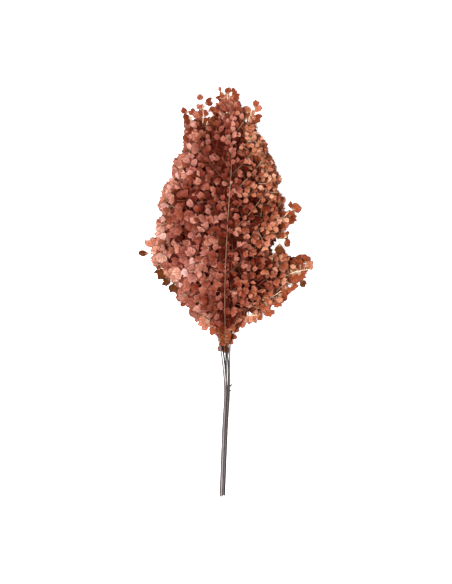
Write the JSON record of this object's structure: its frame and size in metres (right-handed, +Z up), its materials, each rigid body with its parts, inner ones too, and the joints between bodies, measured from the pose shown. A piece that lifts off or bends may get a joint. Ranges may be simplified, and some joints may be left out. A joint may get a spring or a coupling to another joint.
{
  "type": "dried fern frond bunch",
  "caption": "Loose flat-lying bunch of dried rust-coloured fern fronds with fan-shaped leaflets on thin dark stalks that run together to their cut ends.",
  "frame": {"origin": "on the surface that the bunch lies on, under the middle of its bounding box", "axes": "+Y along the bunch from the cut ends to the leafy tip, +Z up from the surface, +X to the right"},
  "size_m": [0.1872, 0.4505, 0.0462],
  "materials": {
    "dried_leaf": "matt dried leaf, rust red",
    "stalk": "smooth dark brown wiry stalk with a slight shine"
  },
  "bodies": {
    "root": {"frond_middle": "dried_leaf", "frond_high_left": "dried_leaf", "frond_high_right": "dried_leaf", "frond_low_left": "dried_leaf", "frond_low_right": "dried_leaf"}
  },
  "joints": []
}
